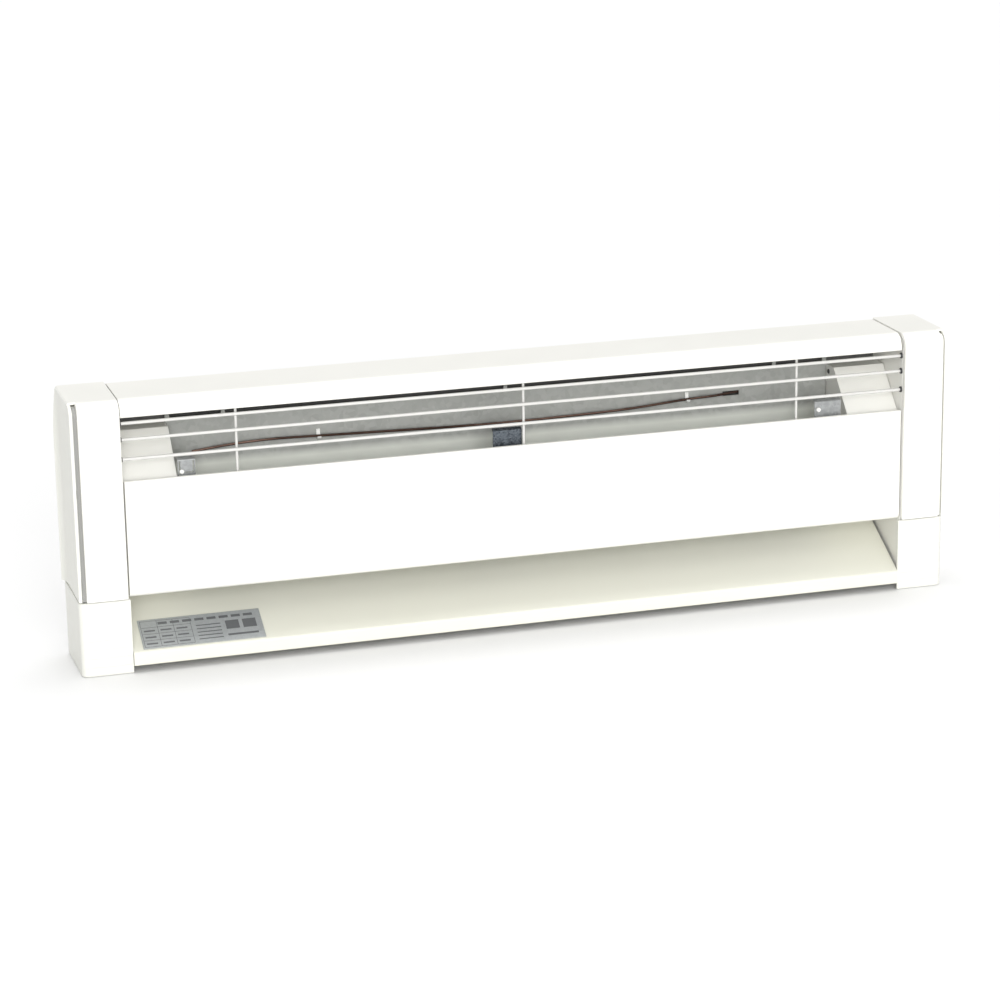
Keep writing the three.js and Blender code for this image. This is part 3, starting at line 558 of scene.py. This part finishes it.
def heat_shield():
    """The inner heat shield: a pressed bead, air slots in its turned top and a way for the capillary."""
    rear = shield_high.y
    foot_turn = 6 * MM
    bead_low, bead_high = 83 * MM, 89 * MM
    bead_depth, bead_bend = 1.6 * MM, 1 * MM
    top_turn = 188 * MM
    corners = [
        (rear - foot_turn, shield_low.z),
        (rear, shield_low.z + foot_turn, 4 * MM),
        (rear, bead_low),
        (rear - bead_depth, bead_low + bead_depth, bead_bend),
        (rear - bead_depth, bead_high - bead_depth, bead_bend),
        (rear, bead_high),
        (rear, top_turn, 14 * MM),
        (shield_low.y, shield_high.z),
    ]
    section = sheet_section(rounded(corners, 5), -SHEET)
    # Its finish paints light on the shield's lower band.
    piece = stand_in("heat_shield", "reflector", "shield_zinc_painted_light")
    fill(piece, lambda bm: add_along_x(bm, section, (shield_low.x, shield_high.x)))
    front, back = rear - 8 * MM, rear + 2 * MM

    def way_through(bm):
        """A slot that lets the capillary pass behind the shield."""
        x_low, x_high = 182 * MM, 196 * MM
        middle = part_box("limit_capillary")[1].z - 1.2 * MM
        half = 1.9 * MM
        add_block(bm, (x_low, front, middle - half), (x_high, back, middle + half))

    def air_slots(bm):
        """A row of slots, parted by bridges behind the grille's wires."""
        bottom, top = 182.2 * MM, 186.2 * MM
        half_bridge, end_margin = 1.5 * MM, 2 * MM
        bridges = [sum(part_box(f"{place}_grille_wire"), Vector()).x / 2 for place in PLACES]
        ends = [shield_low.x + end_margin, *bridges, shield_high.x - end_margin]
        for start, end in zip(ends, ends[1:]):
            add_block(bm, (start + half_bridge, front, bottom), (end - half_bridge, back, top))

    def openings(bm):
        way_through(bm)
        air_slots(bm)
    combine(piece, "DIFFERENCE", openings)
    soften(piece, EDGE)


# ------------------------------------------------------------------ end caps and feet

def sweep(bm, path, section, side):
    """Sweeps a closed section, given as (distance from the middle, depth), along a path in Y and Z."""
    columns = [offset(path, depth) for _, depth in section]
    rings = []
    for index in range(len(path)):
        rings.append([Vector((side * x, *column[index])) for (x, _), column in zip(section, columns)])
    add_loft(bm, rings)


def cap_band(name, side):
    """The band over the front and top, with soft edges. A groove parts its front from the side panel."""
    low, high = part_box(f"{name}_cap_band")
    inner, outer = sorted((abs(low.x), abs(high.x)))
    groove, groove_end = outer - 5.8 * MM, outer - 3 * MM
    corner = 10 * MM
    groove_edge, inner_edge = 1.2 * MM, 0.8 * MM
    inner_wall = 1.2 * MM
    lip = 3.2 * MM
    path = rounded([(low.y, low.z), (low.y, high.z, corner), (high.y, high.z)], 16)
    outside = rounded([(inner, lip), (inner, 0, inner_edge), (groove, 0, groove_edge), (groove, lip)], 5)
    inside = [
        (groove - CAP_WALL, lip),
        (groove - CAP_WALL, CAP_WALL),
        (inner + inner_wall, CAP_WALL),
        (inner + inner_wall, lip),
    ]
    piece = new_piece(f"{name}_band", f"{name}_end_cap", "painted_steel", [f"{name}_cap_band"])
    fill(piece, lambda bm: sweep(bm, path, outside + inside, side))

    def roof(bm):
        """Carries the top on over the side panel, with a rounded outer edge."""
        roof_edge, edge_height = 1.9 * MM, 1.95 * MM
        section = rounded([
            (groove - REACH, high.z),
            (outer, high.z, roof_edge),
            (outer, high.z - edge_height),
            (groove - REACH, high.z - CAP_WALL),
        ], 6)
        add_loft(bm, [[Vector((side * x, y, z)) for x, z in section] for y in (low.y + corner, high.y)])
    combine(piece, "UNION", roof)

    def groove_channel(bm):
        """The groove's inner wall and its floor."""
        wall_start = 1.9 * MM
        behind = GROOVE_DEPTH + CAP_WALL
        section = [
            (groove - CAP_WALL, wall_start),
            (groove, wall_start),
            (groove, GROOVE_DEPTH),
            (groove_end, GROOVE_DEPTH),
            (groove_end, behind),
            (groove - CAP_WALL, behind),
        ]
        sweep(bm, path, section, side)
    combine(piece, "UNION", groove_channel)
    soften(piece, 0)

    def on_groove_floor(face):
        in_groove = groove < abs(face.center.x) < groove_end and face.center.z < high.z - GROOVE_DEPTH
        return in_groove and face.normal.y < -0.1
    # Only the left cap's groove floor gets painted shade, a mid-grey that darkens the groove.
    if name == "left":
        paint_shade_on(piece, "groove_painted_shade", on_groove_floor)


def cap_side(name, side):
    """The side panel. Its rim along the wall fades towards the top."""
    low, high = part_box(f"{name}_cap_side")
    rim_width, rim_at_top = 3.2 * MM, 0.5 * MM
    rim_reach, rim_fade = 14 * MM, 40 * MM
    face = max(abs(low.x), abs(high.x)) - rim_width
    inner = face - 2.5 * MM
    outline = rounded([(low.y, low.z), (low.y, high.z, 9 * MM), (high.y, high.z), (high.y, low.z)], 14)
    piece = new_piece(f"{name}_side", f"{name}_end_cap", "moulded_trim", [f"{name}_cap_side"])
    fill(piece, lambda bm: add_along_x(bm, outline, (side * inner, side * face)))

    def rim(bm):
        """A swelling that starts in the panel's face and is full at the wall."""
        steps = 24
        root = face - REACH
        start = high.y - rim_reach - REACH
        swelling = [(0.08, 0.7), (0.3, 0.4), (0.65, 0.17)]  # shares of the width and of the reach
        rings = []
        for step in range(steps + 1):
            z = low.z + (high.z - low.z) * step / steps
            rise = min(1.0, (high.z - z) / rim_fade)
            width = rim_at_top + (rim_width - rim_at_top) * math.sin(rise * math.pi / 2)
            section = [
                (root, high.y),
                (root, start),
                (face - 0.02 * MM, start),
                *[(face + width * out, high.y - rim_reach * back) for out, back in swelling],
                (face + width, high.y - 0.6 * MM),
                (face + width, high.y),
            ]
            rings.append([Vector((side * x, y, z)) for x, y in section])
        add_loft(bm, rings)
    combine(piece, "UNION", rim)

    def stud(bm):
        """The peg that the spring clip holds."""
        stud_y, stud_z, stud_radius = 2 * MM, 135 * MM, 3.2 * MM
        ends = (min(abs(low.x), abs(high.x)), inner + REACH)
        add_wire(bm, [(side * x, stud_y, stud_z) for x in ends], stud_radius, 24)
    combine(piece, "UNION", stud)
    soften(piece, 0.6 * MM, 3)


def foot(name, side):
    """A moulded foot. Seven soft ribs run across its front and fade round the outer corner."""
    low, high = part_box(f"{name}_foot")
    inner, outer = sorted((abs(low.x), abs(high.x)))
    rib_height, rib_pitch, first_rib, rib_count = 0.5 * MM, 7 * MM, 6.5 * MM, 7
    face = low.y + rib_height
    flare = 0.8 * MM
    wall = 2.4 * MM
    behind_plate = max(abs(corner.x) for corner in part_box(f"{name}_end_plate")) + 0.3 * MM
    outline = rounded([
        (inner, face),
        (outer - flare, face, 5 * MM),
        (outer, high.y),
        (behind_plate, high.y),
        (behind_plate, face + wall),
        (inner, face + wall),
    ], 8)
    front_length = outer - inner - 6 * MM
    front = [Vector((inner + front_length * k / 10, face)) for k in range(11)]
    outline = front + outline[1:]
    centre = Vector(((inner + outer) / 2, (face + high.y) / 2))

    def forward(point, rib):
        """How far a point moves out on a rib, which fades at both ends of the front."""
        if point.y >= face + 1.5 * MM:
            return Vector((0, 0))
        from_end = min(point.x - inner, outer - 2.5 * MM - point.x)
        return Vector((0, -rib * max(0.0, min(1.0, from_end / (3.5 * MM)))))

    def inward(point, draw_in):
        """How far a point moves in near the foot's top and bottom. The face at the wall stays flat."""
        x = math.copysign(draw_in, centre.x - point.x)
        y = math.copysign(draw_in, centre.y - point.y)
        return Vector((x, y if point.y < high.y - 1 * MM else 0))

    rib_section = [(0.0, 0.0), (0.4, 0.2), (0.9, 0.85), (1.5, 1.0), (2.1, 0.85), (2.6, 0.2), (3.0, 0.0)]
    levels = [(0.0, inward, 0.7 * MM), (0.25 * MM, inward, 0.3 * MM), (0.8 * MM, inward, 0.0)]
    for rib in range(rib_count):
        base = first_rib + rib * rib_pitch
        levels += [(base + rise * MM, forward, share * rib_height) for rise, share in rib_section]
    levels += [
        (high.z - 0.8 * MM, inward, 0.0),
        (high.z - 0.25 * MM, inward, 0.2 * MM),
        (high.z, inward, 0.5 * MM),
    ]

    def body(bm):
        rings = []
        for z, push, amount in levels:
            moved = [point + push(point, amount) for point in outline]
            rings.append([Vector((side * point.x, point.y, z)) for point in moved])
        add_loft(bm, rings)
    piece = new_piece(f"{name}_foot_moulding", "casing", "moulded_trim", [f"{name}_foot"])
    fill(piece, body)

    def hollow(bm):
        cavity = rounded([
            (side * (behind_plate + wall), face + wall),
            (side * (outer - flare - wall), face + wall, 2.6 * MM),
            (side * (outer - wall), high.y - wall),
            (side * (behind_plate + wall), high.y - wall),
        ], 5)
        add_loft(bm, [[Vector((u, v, z)) for u, v in cavity] for z in (wall, high.z + REACH)])
    combine(piece, "DIFFERENCE", hollow)
    soften(piece, 0)


# ------------------------------------------------------------------ grille

def grille():
    """Three long rods with three wires welded behind them."""
    for place in ("top", "middle", "bottom"):
        low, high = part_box(f"grille_rod_{place}")
        middle = (low + high) / 2
        ends = [(x, middle.y, middle.z) for x in (low.x, high.x)]
        piece = new_piece(f"rod_{place}", "casing", "painted_wire", [f"grille_rod_{place}"])
        fill(piece, lambda bm: add_wire(bm, ends, (high.z - low.z) / 2, 24))
        soften(piece, 0)
    for place in PLACES:
        low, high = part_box(f"{place}_grille_wire")
        middle = (low + high) / 2
        ends = [(middle.x, middle.y, z) for z in (low.z, high.z)]
        piece = new_piece(f"{place}_wire", "casing", "painted_wire", [f"{place}_grille_wire"])
        fill(piece, lambda bm: add_wire(bm, ends, (high.x - low.x) / 2, 24))
        soften(piece, 0)


def rod_shade_rings(name, side):
    """Dark rings round the rods where they enter an end plate: painted shade for the shadowed holes there.
    """
    face = min(abs(corner.x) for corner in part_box(f"{name}_end_plate"))
    piece = new_piece(f"{name}_rod_shade_rings", "casing", "black_plastic")

    def rings(bm):
        for place in ("top", "middle", "bottom"):
            low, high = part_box(f"grille_rod_{place}")
            middle = (low + high) / 2
            rod = (high.z - low.z) / 2
            inner, flange, tip = rod + 0.1 * MM, rod + 1.1 * MM, rod + 0.6 * MM
            shoulder, height = 0.8 * MM, 1.5 * MM
            profile = [(inner, 0), (flange, 0), (flange, shoulder), (tip, height), (inner, height)]
            add_turned(bm, profile, (side * face, middle.y, middle.z), (-side, 0, 0), 24, endless=True)
    fill(piece, rings)
    soften(piece, 0)


# ------------------------------------------------------------------ element

def fins():
    """Thin pressed fins along the tube. Each one's collar reaches towards the next."""
    low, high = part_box("fin_pack")
    middle = (low + high) / 2
    tube_low, tube_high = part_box("element_tube")
    pitch, thickness = 5.2 * MM, 0.35 * MM
    collar_length = pitch * 0.55
    bore = (tube_high.z - tube_low.z) / 2 + 0.15 * MM
    corners = [(low.y, low.z), (high.y, low.z), (high.y, high.z), (low.y, high.z)]
    outline = []
    for corner, following in zip(corners, corners[1:] + corners[:1]):
        outline += [Vector(corner).lerp(Vector(following), t) for t in (0.05, 0.275, 0.5, 0.725, 0.95)]
    angles = [math.atan2(v - middle.z, u - middle.y) for u, v in outline]
    hole = [Vector((middle.y + bore * math.cos(a), middle.z + bore * math.sin(a))) for a in angles]
    rim = [point + (point - Vector(middle.yz)).normalized() * thickness for point in hole]
    count = int((high.x - low.x - thickness) / pitch)
    start = middle.x - pitch * count / 2
    piece = stand_in("fins", "fin_pack")

    def build(bm):
        for index in range(count):
            x = start + index * pitch
            rings = [
                (x, outline),
                (x + thickness, outline),
                (x + thickness, rim),
                (x + collar_length, rim),
                (x + collar_length, hole),
                (x, hole),
            ]
            add_loft(bm, [[Vector((place, u, v)) for u, v in ring] for place, ring in rings], endless=True)
    fill(piece, build)
    soften(piece, 0)


def element():
    """The liquid-filled tube and the heating rod inside it."""
    low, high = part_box("element_tube")
    middle = (low + high) / 2
    radius = (high.z - low.z) / 2
    length = high.x - low.x
    inner, chamfer = radius - 1 * MM, 0.3 * MM
    wall = [
        (inner, 0),
        (radius - chamfer, 0),
        (radius, chamfer),
        (radius, length - chamfer),
        (radius - chamfer, length),
        (inner, length),
    ]
    tube = stand_in("tube", "element_tube")
    place = (low.x, middle.y, middle.z)
    fill(tube, lambda bm: add_turned(bm, wall, place, (1, 0, 0), 64, endless=True))
    soften(tube, 0)
    low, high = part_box("heater_rod")
    middle = (low + high) / 2
    ends = [(x, middle.y, middle.z) for x in (low.x, high.x)]
    rod = stand_in("heating_rod", "heater_rod")
    fill(rod, lambda bm: add_wire(bm, ends, (high.z - low.z) / 2, 40))
    soften(rod, 0)


# ------------------------------------------------------------------ fittings

def rating_label():
    """A foil plate on the pan: ruled blank fields and plain blocks, with no lettering."""
    low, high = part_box("rating_plate")
    length = high.x - low.x
    depth = 30.5 * MM
    thickness = 0.6 * MM
    along = Vector((0, math.cos(PAN_SLOPE), math.sin(PAN_SLOPE)))
    up = Vector((0, -math.sin(PAN_SLOPE), math.cos(PAN_SLOPE)))
    origin = Vector((low.x, low.y + thickness * math.sin(PAN_SLOPE), low.z))

    def slab(bm, u_range, v_range, levels):
        """A thin block on the pan, u along the heater and v up the slope."""
        u_low, u_high = u_range
        v_low, v_high = v_range
        corners = [(u_low, v_low), (u_high, v_low), (u_high, v_high), (u_low, v_high)]
        add_loft(bm, [[origin + Vector((u, 0, 0)) + along * v + up * level for u, v in corners]
                      for level in levels])
    plate = stand_in("label", "rating_plate")
    fill(plate, lambda bm: slab(bm, (0, length), (0, depth), (0, thickness - 0.1 * MM)))
    soften(plate, 0.12 * MM)

    edge, line, table_depth = 1.4 * MM, 0.35 * MM, 27 * MM
    raised = (thickness - 0.14 * MM, thickness - 0.05 * MM)
    raised_less = (thickness - 0.13 * MM, thickness - 0.06 * MM)

    def block(bm, start, width, base, height):
        """A printed block. Its start and width are shares of the plate's length, the others are in mm."""
        slab(bm, (length * start, length * (start + width)), (base * MM, (base + height) * MM), raised)

    def table(bm):
        table_end = 0.42
        for row in range(5):
            v = edge + table_depth * row / 4
            slab(bm, (edge, length * table_end), (v, v + line), raised)
        for u in (edge, length * 0.15, length * 0.28, length * table_end):
            slab(bm, (u, u + line), (edge, edge + table_depth), raised_less)
        for row in range(3):
            for start in (0.035, 0.17, 0.3):
                block(bm, start, 0.09, 4 + 6.75 * row, 1.6)

    def draw(bm):
        table(bm)
        for column in range(8):
            block(bm, 0.16 + 0.1 * column, 0.075, 24.2, 2.6)
        for row in range(5):
            block(bm, 0.46, 0.2, 4 + 3.6 * row, 1)
        for column in range(2):
            block(bm, 0.7 + 0.14 * column, 0.11, 12, 9)
        block(bm, 0.7, 0.25, 5, 2)
    rules = new_piece("label_rules", "casing", "black_plastic", finish="print")
    fill(rules, draw)
    soften(rules, 0)


def fittings():
    """Folded, pressed, turned and moulded parts whose CAD shape only needs its edges finished."""
    placed = {
        "end_plate": 0.2, "junction_box": 0.7, "junction_cover": 0.3, "cover_screw": 0.25, "knockout": 0.3,
        "cap_clip": 0.15, "wire_connector": 0.4, "glide": 0.6, "bracket": 0.25, "panel_pad": 0.3,
        "panel_clip": 0.12, "capillary_clip": 0.2, "end_plug": 0.3, "terminal": 0.4, "lead_wire": 0,
    }
    single = {
        "ground_screw": 0.3, "limit_switch": 0.6, "switch_lead_wire": 0, "limit_capillary": 0,
        "fill_plug": 0.3,
    }
    for part, radius in placed.items():
        for place in PLACES:
            if f"{place}_{part}" in slot_of:
                refined(f"{place}_{part}", radius * MM)
    for part, radius in single.items():
        refined(part, radius * MM)


def box_grommet():
    """A rubber plug in the upper rear corner of the right box's inner wall."""
    low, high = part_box("right_junction_box")
    place = (low.x - 0.6 * MM, high.y - 12 * MM, high.z - 5.4 * MM)
    flange, tip, height = 2.1 * MM, 1.4 * MM, 2 * MM
    chamfer = 0.5 * MM
    profile = [
        (0.6 * MM, 0),
        (flange - chamfer, 0),
        (flange, chamfer),
        (flange, 1.2 * MM),
        (tip, height),
        (0.5 * MM, height),
    ]
    piece = new_piece("box_grommet", "casing", "black_plastic")
    fill(piece, lambda bm: add_turned(bm, profile, place, (1, 0, 0)))
    soften(piece, 0)


# ------------------------------------------------------------------ camera, light and floor

def camera():
    """A long lens in front of the heater, to the left and above."""
    data = bpy.data.cameras.new("camera")
    data.sensor_width = 36
    data.lens = 111.3
    item = bpy.data.objects.new("camera", data)
    bpy.context.scene.collection.objects.link(item)
    place = Vector((-0.6676, -2.2392, 0.7703))
    yaw, pitch, roll = math.radians(16.292), math.radians(16.046), math.radians(-0.935)
    ahead = Vector((math.sin(yaw) * math.cos(pitch), math.cos(yaw) * math.cos(pitch), -math.sin(pitch)))
    level = Vector((math.cos(yaw), -math.sin(yaw), 0))
    upright = level.cross(ahead)
    right = level * math.cos(roll) + upright * math.sin(roll)
    up = upright * math.cos(roll) - level * math.sin(roll)
    turn = Matrix((right, up, -ahead)).transposed().to_4x4()
    item.matrix_world = Matrix.Translation(place) @ turn
    bpy.context.scene.camera = item


def soft_sun(name, azimuth, elevation, strength, softness):
    """A distant soft light. Azimuth 0 shines along +Y, and a positive one comes from the left."""
    data = bpy.data.lights.new(name, "SUN")
    data.energy = strength * math.pi
    data.angle = math.radians(softness)
    item = bpy.data.objects.new(name, data)
    bpy.context.scene.collection.objects.link(item)
    turn, rise = math.radians(azimuth), math.radians(elevation)
    towards = Vector((math.sin(turn) * math.cos(rise), math.cos(turn) * math.cos(rise), -math.sin(rise)))
    item.rotation_euler = towards.to_track_quat("-Z", "Y").to_euler()


def surroundings():
    """An even glow from all sides, which the camera sees as plain white."""
    world = bpy.data.worlds.new("studio")
    world.use_nodes = True
    tree = world.node_tree
    glow = tree.nodes["Background"]
    glow.inputs["Color"].default_value = (1.0, 1.0, 1.0, 1)
    glow.inputs["Strength"].default_value = 0.55
    backdrop = node(tree, "ShaderNodeBackground", Color=(1.0, 1.0, 1.0, 1), Strength=1.0)
    choice = node(tree, "ShaderNodeMixShader")
    tree.links.new(node(tree, "ShaderNodeLightPath").outputs["Is Camera Ray"], choice.inputs["Fac"])
    tree.links.new(glow.outputs["Background"], choice.inputs[1])
    tree.links.new(backdrop.outputs["Background"], choice.inputs[2])
    tree.links.new(choice.outputs["Shader"], tree.nodes["World Output"].inputs["Surface"])
    bpy.context.scene.world = world


def studio_floor():
    floor = bpy.data.objects.new("floor", bpy.data.meshes.new("floor"))
    bpy.context.scene.collection.objects.link(floor)
    half = 12.0
    level = -0.2 * MM  # just clear of the feet
    corners = [(-half, -half), (half, -half), (half, half), (-half, half)]
    floor.data.from_pydata([(x, y, level) for x, y in corners], [], [(0, 1, 2, 3)])
    floor.data.materials.append(Finish("floor", (0.87, 0.87, 0.87), 0.7).material)


def studio():
    surroundings()
    soft_sun("key", azimuth=-12, elevation=42, strength=0.12, softness=40)
    soft_sun("front", azimuth=8, elevation=13, strength=0.64, softness=35)
    soft_sun("fill", azimuth=55, elevation=20, strength=0.05, softness=40)
    soft_sun("top", azimuth=205, elevation=80, strength=0.43, softness=40)
    studio_floor()


# ------------------------------------------------------------------ assembly

def finish_cad_nodes():
    """Gives each CAD node its procedural material."""
    for name, item in frame["nodes"].items():
        item.data.materials.clear()
        item.data.materials.append(finishes[slot_of[name]])


camera()
studio()
finish_cad_nodes()
casing_sheet()
front_sheet()
pan_sheet()
heat_shield()
for side_name, side_sign in SIDES.items():
    cap_band(side_name, side_sign)
    cap_side(side_name, side_sign)
    foot(side_name, side_sign)
    rod_shade_rings(side_name, side_sign)
grille()
fins()
element()
rating_label()
fittings()
box_grommet()
bpy.context.scene.view_settings.view_transform = "Standard"
